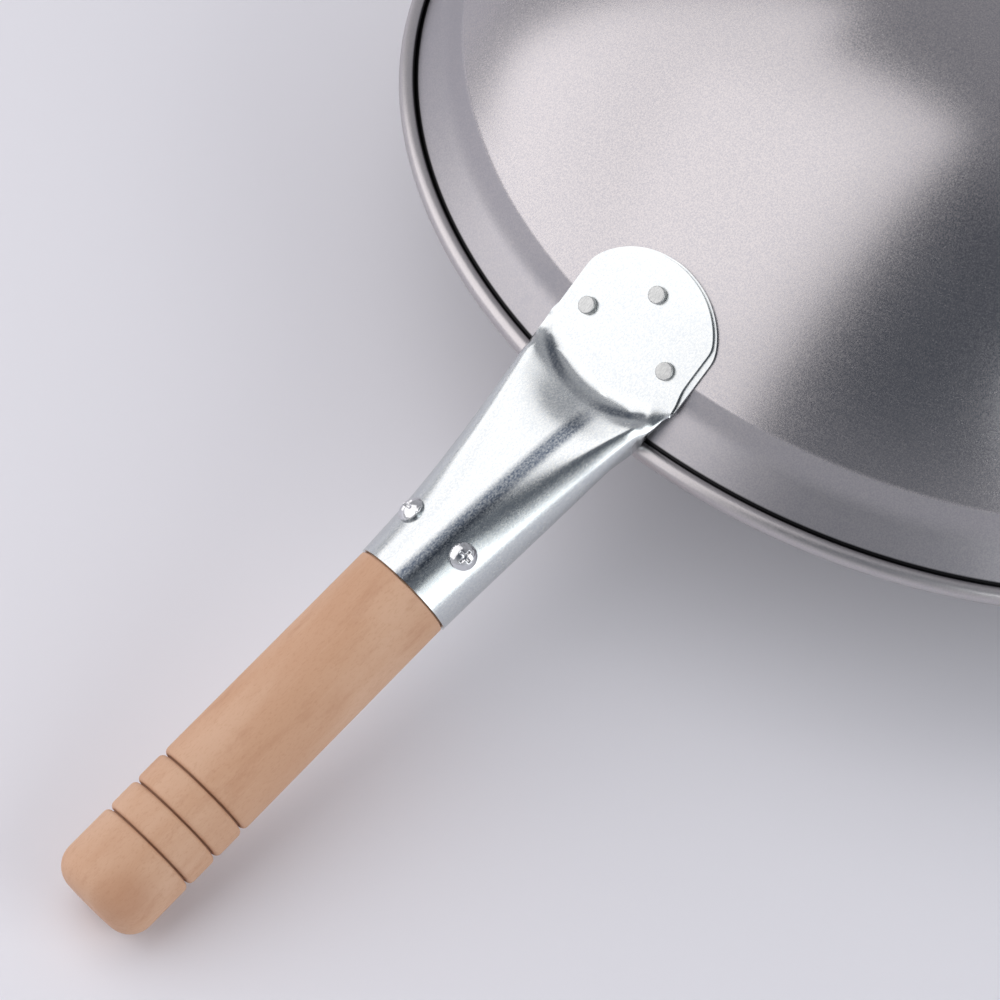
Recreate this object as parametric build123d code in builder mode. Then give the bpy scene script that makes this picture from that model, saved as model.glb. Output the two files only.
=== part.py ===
from build123d import *
import os
from math import asin, atan2, cos, degrees, hypot, radians, sin, tan

# A carbon steel wok with a riveted socket and a turned wooden grip. It lies upside down, resting on
# the far side of its rim and on the butt of its grip. X runs from the bowl to the grip, Z is up.
# Lengths are in millimetres and angles in degrees.

# Bowl
rim_diameter = 356.0
bowl_depth = 110.0
bowl_sheet = 1.5
curl_diameter = 5.6
curl_standoff = 0.6
curl_slit = 0.45
flare_slope = 58.0
flare_length = 16.4
step_slope = 69.0
step_length = 8.1

# Socket, the steel tube that is flattened on the wall of the bowl
socket_sheet = 1.2
collar_diameter = 32.6
collar_past_rim = 61.3
collar_drop = 36.9
handle_slope = 31.2
socket_top_at_rim = 15.6
socket_floor_at_rim = 5.0
socket_rim_station = 77.0
socket_end_station = 88.0
fold_share = 0.9
section_count = 5

# Paddle, the flattened end of the socket, in two layers
seat_clearance = 0.1
layer_gap = 0.25
layer_lift = 3.0
shear_clearance = 0.1
near_half_width = 22.8
near_tip_radius = 25.8
far_half_width = 24.4
far_tip_radius = 26.4
near_heel = 20.0
far_heel = 12.0
press_radius = 35.0
press_reach = 18.2
press_flare = 32.0
press_depth = 1.5
lens_radius = 55.0
lens_reach = 11.6
lens_depth = 0.5
lens_run = 7.2
lens_rise = 1.0

# Rivets
rivet_shank = 4.2
rivet_head = 5.3
rivet_head_height = 1.8
rivet_inner_head = 6.8
rivet_inner_height = 1.6
rivet_edge = 0.35
rivet_bite = 0.1
rivet_clearance = 0.05
rivet_spread = 15.6
rivet_low = -0.5
rivet_high = 15.5

# Grip
grip_length = 127.5
grip_neck_diameter = 31.7
grip_butt_diameter = 32.4
grip_joint_gap = 0.35
butt_radius = 8.0
neck_edge = 0.5
tenon_length = 26.0
tenon_tip_diameter = 24.8
tenon_clearance = 0.15
groove_count = 3
groove_pitch = 10.9
first_groove = 81.8
groove_depth = 1.7
groove_floor = 0.9
groove_shoulder = 1.5

# Wood screws
screw_station = 17.0
screw_lean = 37.0
screw_head = 8.2
screw_head_height = 2.4
screw_head_edge = 0.6
screw_seat_gap = 0.3
screw_shank = 3.5
screw_length = 12.0
screw_point = 4.0
screw_recess = 4.4
screw_slot = 1.2
screw_recess_depth = 1.5
screw_recess_taper = 12.0
screw_clearance = 0.05

# Reach of the cutting bodies, well past the sheets that they cut
far_past = 30.0


def along(point, direction, distance):
    """Point at a distance from another, in the plane of the wok's section."""
    return (point[0] + direction[0] * distance, point[1] + direction[1] * distance)


def offset_corner(point, normal_a, normal_b, distance):
    """Corner between two lines that are both moved along their normals."""
    share = distance / (1 + normal_a[0] * normal_b[0] + normal_a[1] * normal_b[1])
    return (point[0] + (normal_a[0] + normal_b[0]) * share, point[1] + (normal_a[1] + normal_b[1]) * share)


def slope_up(angle):
    """Direction up a wall that leans inwards."""
    return (-cos(radians(angle)), sin(radians(angle)))


def slope_out(angle):
    """Outward normal of a wall that leans inwards."""
    return (sin(radians(angle)), cos(radians(angle)))


# Section of the wok, with the rim plane at height 0 and the bowl's axis at radius 0
curl_radius = curl_diameter / 2
curl_centre = (rim_diameter / 2 - curl_radius, curl_radius)
flare_normal = slope_out(flare_slope)
step_normal = slope_out(step_slope)
flare_foot = along(curl_centre, flare_normal, -curl_standoff)
flare_bend = along(flare_foot, slope_up(flare_slope), flare_length)
crease = along(flare_bend, slope_up(step_slope), step_length)
dome_rise = bowl_depth - crease[1]
dome_radius = (crease[0] ** 2 + dome_rise**2) / (2 * dome_rise)
dome_centre = (0, bowl_depth - dome_radius)
dome_slope = degrees(asin(crease[0] / dome_radius))

# Handle axis in the same section, from the collar outwards
collar_radius = collar_diameter / 2
collar_point = (rim_diameter / 2 + collar_past_rim, -collar_drop)
handle_out = (cos(radians(handle_slope)), -sin(radians(handle_slope)))
handle_up = (sin(radians(handle_slope)), cos(radians(handle_slope)))
grip_butt_radius = grip_butt_diameter / 2
butt_axis = along(collar_point, handle_out, grip_length - butt_radius)
butt_low = along(butt_axis, handle_up, butt_radius - grip_butt_radius)
butt_high = along(butt_axis, handle_up, grip_butt_radius - butt_radius)

# The wok rests on the far side of the rim curl and on the lower corner of the butt
far_curl = (-curl_centre[0], curl_centre[1])
rest_run = (butt_low[0] - far_curl[0], butt_low[1] - far_curl[1])
tilt = degrees(asin((butt_radius - curl_radius) / hypot(*rest_run))) - degrees(atan2(rest_run[1], rest_run[0]))


def lying(point):
    """Place of a section point after the wok is tilted onto its rests, before it is centred."""
    turn = radians(tilt)
    return (point[0] * cos(turn) - point[1] * sin(turn), point[0] * sin(turn) + point[1] * cos(turn))


back_reach = lying(far_curl)[0] - curl_radius
front_reach = lying(butt_high)[0] + butt_radius
floor_level = lying(far_curl)[1] - curl_radius
stand = Location((-(back_reach + front_reach) / 2, 0, -floor_level), (0, -tilt, 0))
rim_plane = Plane(stand)
section = Plane(origin=rim_plane.origin, x_dir=rim_plane.x_dir, z_dir=-rim_plane.y_dir)
far_section = Plane(origin=rim_plane.origin, x_dir=-rim_plane.x_dir, z_dir=rim_plane.y_dir)
bowl_axis = Axis(rim_plane.origin, rim_plane.z_dir)


def in_space(point, lateral=0):
    """A section point, moved sideways, in the frame of the whole wok."""
    return section.from_local_coords((point[0], point[1], -lateral))


def direction_in_space(direction, turned=0):
    """A section direction, turned about the bowl's axis, in the frame of the whole wok."""
    turn = radians(turned)
    radial = section.x_dir * cos(turn) - section.z_dir * sin(turn)
    return radial * direction[0] + section.y_dir * direction[1]


def socket_plane(station, lift=0):
    """Plane across the handle at a distance from the collar towards the bowl."""
    return Plane(
        origin=in_space(along(along(collar_point, handle_out, -station), handle_up, lift)),
        x_dir=section.z_dir,
        z_dir=-direction_in_space(handle_out),
    )


# The paddle bridges from the crease of the bowl to the curl
bridge_run = (curl_centre[0] - crease[0], curl_centre[1] - crease[1])
bridge_slope = -degrees(atan2(bridge_run[1], bridge_run[0]) + asin(curl_radius / hypot(*bridge_run)))
bridge_normal = slope_out(bridge_slope)
bridge_up = slope_up(bridge_slope)
far_face = seat_clearance + socket_sheet
near_back = far_face + layer_gap
near_face = near_back + socket_sheet
lift_up = slope_up(bridge_slope - layer_lift)


def dome_point(height, slope):
    """Point at a height over the dome, where the dome has the given slope."""
    return along(dome_centre, slope_out(slope), dome_radius + height)


def paddle_band(low, high, lift, reach):
    """Section of a layer that follows the dome and then runs straight on from the crease."""
    top_slope = dome_slope - degrees(far_past / dome_radius)
    mid_slope = (top_slope + dome_slope) / 2
    low_crease = along(crease, bridge_normal, low)
    high_crease = along(crease, bridge_normal, high)
    with BuildSketch() as band:
        with BuildLine():
            ThreePointArc(dome_point(low, top_slope), dome_point(low, mid_slope), low_crease)
            Line(low_crease, along(low_crease, lift, -reach))
            Line(along(low_crease, lift, -reach), along(high_crease, lift, -reach))
            Line(along(high_crease, lift, -reach), high_crease)
            ThreePointArc(high_crease, dome_point(high, mid_slope), dome_point(high, top_slope))
            Line(dome_point(high, top_slope), dome_point(low, top_slope))
        make_face()
    return band.sketch_local


paddle_plane = Plane(
    origin=in_space(along(crease, bridge_normal, near_face)),
    x_dir=direction_in_space(bridge_up),
    z_dir=direction_in_space(bridge_normal),
)


def paddle_outline(half_width, tip_radius, heel):
    """Outline of a paddle layer: two straight sides and a round tip."""
    with BuildSketch() as outline:
        Circle(tip_radius)
        with Locations((-heel / 2, 0)):
            Rectangle(heel, 2 * tip_radius)
        Rectangle(2 * tip_radius + 2 * heel, 2 * half_width, mode=Mode.INTERSECT)
    return outline.sketch_local


# Bowl: a spun dome, a crisp crease, a stepped band and a rim curled outwards
with BuildPart() as bowl_shell:
    inner_foot = along(flare_foot, flare_normal, -bowl_sheet)
    inner_bend = offset_corner(flare_bend, flare_normal, step_normal, -bowl_sheet)
    inner_crease = offset_corner(crease, step_normal, slope_out(dome_slope), -bowl_sheet)
    with BuildSketch(section):
        with BuildLine():
            Polyline(flare_foot, flare_bend, crease)
            ThreePointArc(crease, dome_point(0, dome_slope / 2), (0, bowl_depth))
            Line((0, bowl_depth), (0, bowl_depth - bowl_sheet))
            ThreePointArc((0, bowl_depth - bowl_sheet), dome_point(-bowl_sheet, dome_slope / 2), inner_crease)
            Polyline(inner_crease, inner_bend, inner_foot)
            Line(inner_foot, flare_foot)
        make_face()
        with Locations(curl_centre):
            Circle(curl_radius)
            Circle(curl_radius - bowl_sheet, mode=Mode.SUBTRACT)
        slit_middle = along(along(flare_foot, flare_normal, curl_slit / 2), slope_up(flare_slope), curl_radius)
        with Locations(Location(slit_middle, (0, 0, -flare_slope))):
            Rectangle(curl_diameter, curl_slit, mode=Mode.SUBTRACT)
    revolve(axis=bowl_axis)


def flat_arc(half_width, half_height, fold):
    """Half angle and radius of the flat arcs of an oval. Equal halves give a circle."""
    if half_width > fold:
        lean = 2 * atan2(half_height - fold, half_width - fold)
        return lean, fold + (half_width - fold) / sin(lean)
    return radians(45), fold


def oval(half_width, half_height, fold):
    """Four tangent arcs: two flat ones and two folds."""
    lean, flat = flat_arc(half_width, half_height, fold)
    side = flat * sin(lean)
    shoulder = half_height - flat + flat * cos(lean)
    with BuildLine() as line:
        ThreePointArc((-side, shoulder), (0, half_height), (side, shoulder))
        ThreePointArc((side, shoulder), (half_width, 0), (side, -shoulder))
        ThreePointArc((side, -shoulder), (0, -half_height), (-side, -shoulder))
        ThreePointArc((-side, -shoulder), (-half_width, 0), (-side, shoulder))
    return line.line


def socket_top(station):
    """Height of the tube's top line over the handle axis."""
    return collar_radius + (socket_top_at_rim - collar_radius) * station / socket_rim_station


def socket_floor(station):
    """Height of the tube's bottom line over the handle axis, rising faster towards the rim."""
    share = min(station / socket_rim_station, 1) ** 2
    return -collar_radius + (socket_floor_at_rim + collar_radius) * share


def socket_half_width(station):
    """Half width of the tube, which spreads as it flattens."""
    share = (station / socket_end_station) ** 1.5
    return collar_radius + (far_half_width - collar_radius) * share


def socket_tube(inset):
    """Tube from the round collar to the flattened end, with its skin moved inwards."""
    with BuildPart() as tube:
        for step in range(section_count):
            station = socket_end_station * step / (section_count - 1)
            top, floor = socket_top(station), socket_floor(station)
            middle, half_height = (top + floor) / 2, (top - floor) / 2
            fold = half_height if station == 0 else half_height * fold_share
            with BuildSketch(socket_plane(station, middle)):
                with BuildLine():
                    add(oval(socket_half_width(station) - inset, half_height - inset, fold - inset))
                make_face()
        loft()
    return tube.part


def rim_envelope(inset):
    """Everything that the bowl and its curl fill, with its skin moved outwards."""
    height = seat_clearance + inset
    low_crease = along(crease, bridge_normal, height)
    envelope_radius = rim_diameter / 2 + height
    rim_corner = along(low_crease, bridge_up, (low_crease[0] - envelope_radius) / cos(radians(bridge_slope)))
    with BuildPart() as envelope:
        with BuildSketch(far_section):
            with BuildLine():
                Polyline((0, -far_past), (0, dome_centre[1] + dome_radius + height))
                ThreePointArc((0, dome_centre[1] + dome_radius + height), dome_point(height, dome_slope / 2), low_crease)
                Polyline(low_crease, rim_corner, (envelope_radius, -far_past), (0, -far_past))
            make_face()
        revolve(axis=bowl_axis)
    return envelope.part

def press_cone(inset):
    """Flared body of the press over the paddle, its skin moved outwards."""
    flare = radians(press_flare)
    widening = inset / cos(flare)
    depth = inset + press_depth
    centre = press_radius - press_reach
    base = paddle_plane.offset(-depth)
    with BuildPart() as cone:
        with BuildSketch(base):
            with Locations((centre, 0)):
                Circle(press_radius + widening - depth * tan(flare))
        with BuildSketch(base.offset(depth + far_past)):
            with Locations((centre, 0)):
                Circle(press_radius + widening + far_past * tan(flare))
        loft()
    return cone.part


def press(inset):
    """Die that flattens the near wall onto the far one, with its skin moved outwards."""
    with BuildPart() as die:
        with BuildSketch(far_section):
            add(paddle_band(near_face - inset, near_face + far_past, lift_up, far_past))
        revolve(axis=bowl_axis)
        add(press_cone(inset), mode=Mode.INTERSECT)
    return die.part


def layer(low, high, lift, half_width, tip_radius, heel):
    """One layer of the paddle, curved with the dome and cut to its outline."""
    with BuildPart() as sheet:
        with BuildSketch(far_section):
            add(paddle_band(low, high, lift, heel))
        revolve(axis=bowl_axis)
        with BuildSketch(paddle_plane):
            add(paddle_outline(half_width, tip_radius, heel))
        extrude(amount=far_past, both=True, mode=Mode.INTERSECT)
    return sheet.part


# A shallow lens-shaped facet at the foot of the press
lens_plane = Plane(
    origin=paddle_plane.origin,
    x_dir=-direction_in_space(lift_up),
    z_dir=direction_in_space(slope_out(bridge_slope - layer_lift)),
)
with BuildPart() as lens:
    with BuildSketch(lens_plane.offset(-lens_depth)):
        with Locations((lens_reach + lens_radius, 0)):
            Circle(lens_radius - lens_run)
    with BuildSketch(lens_plane.offset(lens_rise)):
        with Locations((lens_reach + lens_radius, 0)):
            Circle(lens_radius + lens_run * lens_rise / lens_depth)
    loft()
    add(press_cone(0), mode=Mode.INTERSECT)

with BuildPart() as near_layer:
    add(layer(near_back, near_face, lift_up, near_half_width, near_tip_radius, near_heel))
    add(press_cone(socket_sheet), mode=Mode.INTERSECT)
    add(press(0), mode=Mode.SUBTRACT)

with BuildPart() as socket_hollow:
    add(socket_tube(socket_sheet))
    add(rim_envelope(socket_sheet), mode=Mode.SUBTRACT)
    add(press(socket_sheet), mode=Mode.SUBTRACT)

with BuildPart() as socket_shell:
    add(socket_tube(0))
    add(rim_envelope(0), mode=Mode.SUBTRACT)
    add(press(0), mode=Mode.SUBTRACT)
    add(socket_hollow.part, mode=Mode.SUBTRACT)
    # The folds beside the near layer are sheared off, which parts the two layers
    for side in (-1, 1):
        with BuildSketch(paddle_plane.offset(-socket_sheet - layer_gap / 2)):
            with Locations((0, side * (near_half_width + shear_clearance + far_past / 2))):
                Rectangle(2 * near_heel, far_past)
        extrude(amount=far_past, mode=Mode.SUBTRACT)
    add(layer(seat_clearance, far_face, bridge_up, far_half_width, far_tip_radius, far_heel))
    add(near_layer.part)
    add(lens.part, mode=Mode.SUBTRACT)


def rivet_seat(reach, lateral):
    """Plane on the near face of the paddle, with its normal out of the wall."""
    slope = bridge_slope - layer_lift
    point = along(along(crease, bridge_normal, near_face), lift_up, reach)
    if reach > 0:
        slope = dome_slope - degrees(reach / dome_radius)
        point = dome_point(near_face, slope)
    turned = degrees(asin(lateral / point[0]))
    return Plane(
        origin=rim_plane.origin + direction_in_space(point, turned),
        x_dir=direction_in_space(slope_up(slope), turned),
        z_dir=direction_in_space(slope_out(slope), turned),
    )


# The rivets hold both layers of the paddle on the bowl
rivet_grip = near_face + bowl_sheet
left_seat = rivet_seat(rivet_low, -rivet_spread)
right_seat = rivet_seat(rivet_low, rivet_spread)
top_seat = rivet_seat(rivet_high, 0)


def rivet_body(seat):
    """Rivet with one head hammered against the paddle and one against the inside of the bowl."""
    with BuildPart() as body:
        with BuildSketch(seat.offset(-rivet_bite)):
            Circle(rivet_head / 2)
        extrude(amount=rivet_bite + rivet_head_height)
        fillet(body.faces().sort_by(Axis(seat.origin, seat.z_dir))[-1].edges(), rivet_edge)
        with BuildSketch(seat.offset(rivet_bite - rivet_grip)):
            Circle(rivet_inner_head / 2)
        extrude(amount=-rivet_bite - rivet_inner_height)
        fillet(body.faces().sort_by(Axis(seat.origin, seat.z_dir))[0].edges(), rivet_edge)
        add(near_layer.part, mode=Mode.SUBTRACT)
        add(bowl_shell.part, mode=Mode.SUBTRACT)
        with BuildSketch(seat.offset(rivet_head_height / 2)):
            Circle(rivet_shank / 2)
        extrude(amount=-(rivet_head_height + rivet_inner_height) / 2 - rivet_grip)
    return body.part


with BuildPart() as rivet_left:
    add(rivet_body(left_seat))

with BuildPart() as rivet_right:
    add(rivet_body(right_seat))

with BuildPart() as rivet_top:
    add(rivet_body(top_seat))

with BuildPart() as rivet_holes:
    for seat in (left_seat, right_seat, top_seat):
        with BuildSketch(seat.offset(rivet_head_height)):
            Circle(rivet_shank / 2 + rivet_clearance)
        extrude(amount=-rivet_head_height - rivet_grip - rivet_inner_height)

with BuildPart() as bowl:
    add(bowl_shell.part)
    add(rivet_holes.part, mode=Mode.SUBTRACT)


def screw_seat(side):
    """Plane under a screw head, on the flat upper arc of the tube."""
    top = socket_top(screw_station)
    half_height = (top - socket_floor(screw_station)) / 2
    flat = flat_arc(socket_half_width(screw_station), half_height, half_height * fold_share)[1]
    reach = flat + screw_seat_gap
    lean = radians(screw_lean)
    level = top - flat + reach * cos(lean)
    return Plane(
        origin=in_space(
            along(along(collar_point, handle_out, -screw_station), handle_up, level),
            side * reach * sin(lean),
        ),
        x_dir=direction_in_space(handle_out),
        z_dir=direction_in_space(handle_up) * cos(lean) - section.z_dir * side * sin(lean),
    )


def screw_body(seat):
    """Wood screw with a domed head and a cross recess."""
    head_radius = screw_head / 2
    shank_radius = screw_shank / 2
    cap = screw_head_height - screw_head_edge
    cap_radius = (head_radius**2 + cap**2) / (2 * cap)
    cap_turn = asin(head_radius / cap_radius) / 2
    cap_middle = (cap_radius * sin(cap_turn), screw_head_height - cap_radius + cap_radius * cos(cap_turn))
    upright = Plane(origin=seat.origin, x_dir=seat.x_dir, z_dir=-seat.y_dir)
    with BuildPart() as body:
        with BuildSketch(upright):
            with BuildLine():
                Polyline(
                    (0, screw_head_height),
                    (0, -screw_length),
                    (shank_radius, screw_point - screw_length),
                    (shank_radius, 0),
                    (head_radius, 0),
                    (head_radius, screw_head_edge),
                )
                ThreePointArc((head_radius, screw_head_edge), cap_middle, (0, screw_head_height))
            make_face()
        revolve(axis=Axis(seat.origin, seat.z_dir))
        with BuildSketch(seat.offset(screw_head_height)):
            Rectangle(screw_recess, screw_slot)
            Rectangle(screw_slot, screw_recess)
        extrude(amount=-screw_recess_depth, taper=screw_recess_taper, mode=Mode.SUBTRACT)
    return body.part


left_screw_seat = screw_seat(-1)
right_screw_seat = screw_seat(1)

with BuildPart() as screw_left:
    add(screw_body(left_screw_seat))

with BuildPart() as screw_right:
    add(screw_body(right_screw_seat))

with BuildPart() as screw_holes:
    for seat in (left_screw_seat, right_screw_seat):
        with BuildSketch(seat):
            Circle(screw_shank / 2 + screw_clearance)
        extrude(amount=-screw_length)

with BuildPart() as socket:
    add(socket_shell.part)
    add(rivet_holes.part, mode=Mode.SUBTRACT)
    add(screw_holes.part, mode=Mode.SUBTRACT)

# Grip, turned about the handle axis, with a tapered tenon inside the socket
grip_plane = Plane(origin=in_space(collar_point), x_dir=direction_in_space(handle_out), z_dir=section.z_dir)
grip_neck_radius = grip_neck_diameter / 2
grip_swell = (grip_butt_radius - grip_neck_radius) / (grip_length - butt_radius)
tenon_radius = collar_radius - socket_sheet - tenon_clearance


def groove_cut():
    """Section of a groove with rounded shoulders, from the skin of the grip inwards."""
    half_floor = groove_floor / 2
    edge = half_floor + groove_shoulder
    bend = groove_shoulder * (1 - cos(radians(45)))
    with BuildSketch() as cut:
        with BuildLine():
            Polyline((edge, 0), (edge, groove_depth), (-edge, groove_depth), (-edge, 0))
            ThreePointArc((-edge, 0), (-half_floor - bend, -bend), (-half_floor, -groove_shoulder))
            Polyline(
                (-half_floor, -groove_shoulder),
                (-half_floor, -groove_depth),
                (half_floor, -groove_depth),
                (half_floor, -groove_shoulder),
            )
            ThreePointArc((half_floor, -groove_shoulder), (half_floor + bend, -bend), (edge, 0))
        make_face()
    return cut.sketch_local


with BuildPart() as grip:
    with BuildSketch(grip_plane):
        with BuildLine():
            Polyline(
                (grip_length, 0),
                (-tenon_length, 0),
                (-tenon_length, tenon_tip_diameter / 2),
                (0, tenon_radius),
                (grip_joint_gap, tenon_radius),
                (grip_joint_gap, grip_neck_radius - neck_edge),
                (grip_joint_gap + neck_edge, grip_neck_radius),
                (grip_length - butt_radius, grip_butt_radius),
            )
            CenterArc((grip_length - butt_radius, grip_butt_radius - butt_radius), butt_radius, 0, 90)
            Line((grip_length, grip_butt_radius - butt_radius), (grip_length, 0))
        make_face()
        for groove in range(groove_count):
            groove_station = first_groove + groove * groove_pitch
            with Locations((groove_station, grip_neck_radius + grip_swell * groove_station)):
                add(groove_cut(), mode=Mode.SUBTRACT)
    revolve(axis=Axis(grip_plane.origin, grip_plane.x_dir))
    add(screw_holes.part, mode=Mode.SUBTRACT)

bowl.part.label = "bowl"
socket.part.label = "socket"
rivet_left.part.label = "rivet_left"
rivet_right.part.label = "rivet_right"
rivet_top.part.label = "rivet_top"
grip.part.label = "grip"
screw_left.part.label = "screw_left"
screw_right.part.label = "screw_right"

os.makedirs("parts", exist_ok=True)
export_step(bowl.part, "parts/bowl.step")
export_step(socket.part, "parts/socket.step")
export_step(rivet_left.part, "parts/rivet_left.step")
export_step(rivet_right.part, "parts/rivet_right.step")
export_step(rivet_top.part, "parts/rivet_top.step")
export_step(grip.part, "parts/grip.step")
export_step(screw_left.part, "parts/screw_left.step")
export_step(screw_right.part, "parts/screw_right.step")
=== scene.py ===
from math import asin, atan2, cos, hypot, pi, radians, sin, tan

import bmesh
import bpy
from mathutils import Matrix, Vector


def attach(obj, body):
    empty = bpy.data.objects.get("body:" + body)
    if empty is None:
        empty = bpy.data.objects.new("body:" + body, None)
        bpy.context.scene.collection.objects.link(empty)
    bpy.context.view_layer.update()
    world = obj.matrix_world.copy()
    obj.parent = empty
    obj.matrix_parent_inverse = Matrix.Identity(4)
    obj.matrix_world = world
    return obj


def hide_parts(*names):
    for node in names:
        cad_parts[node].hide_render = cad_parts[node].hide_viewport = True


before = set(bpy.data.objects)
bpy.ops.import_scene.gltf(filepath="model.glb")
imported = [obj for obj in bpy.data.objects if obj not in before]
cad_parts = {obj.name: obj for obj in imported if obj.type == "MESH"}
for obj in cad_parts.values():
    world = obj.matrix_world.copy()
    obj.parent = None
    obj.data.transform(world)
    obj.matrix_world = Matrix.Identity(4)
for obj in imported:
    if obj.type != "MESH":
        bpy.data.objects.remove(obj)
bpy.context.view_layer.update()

bl_info = {
    "name": "Carbon Steel Wok",
    "version": (1, 0, 0),
    "blender": (4, 2, 0),
    "location": "View3D > Sidebar > Wok",
    "description": "Builds a wok with a riveted socket and a turned grip, and its studio",
    "category": "Add Mesh",
}


def a_size(name, description, default):
    return bpy.props.FloatProperty(
        name=name, description=description, unit="LENGTH", default=default, precision=5)


def an_angle(name, description, default):
    """An angle whose default is given in degrees."""
    return bpy.props.FloatProperty(
        name=name, description=description, subtype="ANGLE", default=radians(default))


def a_share(name, description, default):
    return bpy.props.FloatProperty(name=name, description=description, default=default)


def a_count(name, description, default, least):
    return bpy.props.IntProperty(name=name, description=description, default=default, min=least)


def a_colour(name, description, default):
    return bpy.props.FloatVectorProperty(
        name=name, description=description, subtype="COLOR", default=default)


def a_place(name, description, default):
    return bpy.props.FloatVectorProperty(
        name=name, description=description, subtype="TRANSLATION", default=default, precision=5)


def a_group(kind, name, description):
    return bpy.props.PointerProperty(type=kind, name=name, description=description)


class WokPose(bpy.types.PropertyGroup):
    """Where the wok lies: on the far side of its rim and on the butt of its grip."""
    rim_centre: a_place("Rim Centre", "Middle of the rim plane", (-0.0955064, 0.0, 0.0380931))
    tilt: an_angle("Tilt", "Lean of the bowl's axis", 12.53556)
    collar_centre: a_place(
        "Collar Centre", "Middle of the socket's round end", (0.146098, 0.0, 0.0540117))
    handle_fall: an_angle("Handle Fall", "Slope of the handle towards the table", 18.66444)


class WokBowlSizes(bpy.types.PropertyGroup):
    """Sizes of the spun bowl."""
    rim_radius: a_size("Rim Radius", "Outside radius over the curled rim", 0.178)
    depth: a_size("Depth", "Rim plane to the top of the dome", 0.110)
    sheet: a_size("Sheet", "Thickness of the steel", 0.0015)
    curl_radius: a_size("Curl Radius", "Radius of the curled rim", 0.0028)
    curl_standoff: a_size("Curl Standoff", "Wall to the middle of the curl", 0.0006)
    curl_slit: a_size("Curl Slit", "Width of the slit beside the wall", 0.00045)
    flare_slope: an_angle("Flare Slope", "Slope of the wall beside the rim", 58.0)
    flare_length: a_size("Flare Length", "Length of the wall beside the rim", 0.0164)
    step_slope: an_angle("Step Slope", "Slope of the steep step", 69.0)
    step_length: a_size("Step Length", "Length of the steep step", 0.0081)
    crease_round: a_size("Crease Round", "Softening of the crease under the dome", 0.00035)
    bend_round: a_size("Bend Round", "Softening of the bend in the band", 0.0012)
    ring_points: a_count("Ring Points", "Points round the bowl", 288, 48)
    dome_rings: a_count("Dome Rings", "Rings from the top of the dome to the crease", 30, 6)


class WokSocketSizes(bpy.types.PropertyGroup):
    """Sizes of the socket: a tube that is pressed flat into a two-layer paddle."""
    sheet: a_size("Sheet", "Thickness of the sheet", 0.0012)
    seat: a_size("Seat", "Gap between paddle and bowl", 0.0001)
    layer_gap: a_size("Layer Gap", "Gap between the two layers", 0.00025)
    collar_past_rim: a_size("Collar Past Rim", "Rim to collar, outwards", 0.0613)
    collar_drop: a_size("Collar Drop", "Rim plane down to the collar", 0.0369)
    slope: an_angle("Slope", "Slope of the tube against the rim plane", 31.2)
    collar_radius: a_size("Collar Radius", "Outside radius of the round end", 0.0163)
    rim_station: a_size("Rim Station", "Collar to the bowl's rim", 0.077)
    top_at_rim: a_size("Top at Rim", "Top of the tube over its axis at the rim", 0.0156)
    floor_at_rim: a_size("Floor at Rim", "Bottom of the tube over its axis at the rim", 0.005)
    width_station: a_size("Width Station", "Collar to the full width", 0.088)
    fold_share: a_share("Fold Share", "Radius of the folds against half the height", 0.9)
    split_station: a_size("Split Station", "Collar to the start of the slit", 0.085)
    near_half_width: a_size("Near Half Width", "Half width of the upper layer", 0.0228)
    near_tip_radius: a_size("Near Tip Radius", "Radius of the upper layer's tip", 0.0258)
    far_half_width: a_size("Far Half Width", "Half width of the lower layer", 0.0244)
    far_tip_radius: a_size("Far Tip Radius", "Radius of the lower layer's tip", 0.0264)
    layer_lift: an_angle("Layer Lift", "How the layers open towards the tube", 3)
    press_station: a_size("Press Station", "Collar to the foot of the pressed ramp", 0.077)
    press_radius: a_size("Press Radius", "Radius of the curved foot of the ramp", 0.0275)
    press_slope: an_angle("Press Slope", "Slope of the ramp against the tube", 26)
    press_crease: a_size("Press Crease", "Softness of the foot of the ramp", 0.0009)
    press_shoulder: a_size("Press Shoulder", "Softness of the ramp's upper edge", 0.0022)
    facet_reach: a_size("Facet Reach", "Width of the crescent past the ramp", 0.008)
    facet_depth: a_size("Facet Depth", "Depth of the crescent past the ramp", 0.0004)
    columns: a_count("Columns", "Faces across each half of the cage", 20, 8)
    levels: a_count("Levels", "How often the cage is subdivided", 2, 1)
    rounds: a_count("Rounds", "How often the skin is smoothed", 5, 0)


class WokGripSizes(bpy.types.PropertyGroup):
    """Sizes of the turned grip."""
    length: a_size("Length", "Collar to butt", 0.1275)
    neck_radius: a_size("Neck Radius", "Radius at the collar", 0.01585)
    butt_radius: a_size("Butt Radius", "Radius near the butt", 0.0162)
    corner: a_size("Corner", "Rounding of the butt", 0.008)
    joint_gap: a_size("Joint Gap", "Gap between collar and shoulder", 0.00035)
    neck_edge: a_size("Neck Edge", "Rounding of the shoulder", 0.0005)
    tenon_length: a_size("Tenon Length", "Length inside the socket", 0.026)
    tenon_radius: a_size("Tenon Radius", "Radius of the tenon at the collar", 0.01495)
    tenon_tip_radius: a_size("Tenon Tip Radius", "Radius of the tenon's tip", 0.0124)
    groove_count: a_count("Grooves", "Number of turned grooves", 3, 0)
    first_groove: a_size("First Groove", "Collar to the first groove", 0.0818)
    groove_pitch: a_size("Groove Pitch", "Distance between grooves", 0.0109)
    groove_depth: a_size("Groove Depth", "Depth of a groove", 0.0020)
    groove_floor: a_size("Groove Floor", "Width of a groove's floor", 0.0005)
    groove_shoulder: a_size("Groove Shoulder", "Rounding of a groove's edges", 0.0016)
    ring_points: a_count("Ring Points", "Points round the grip", 96, 24)


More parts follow.
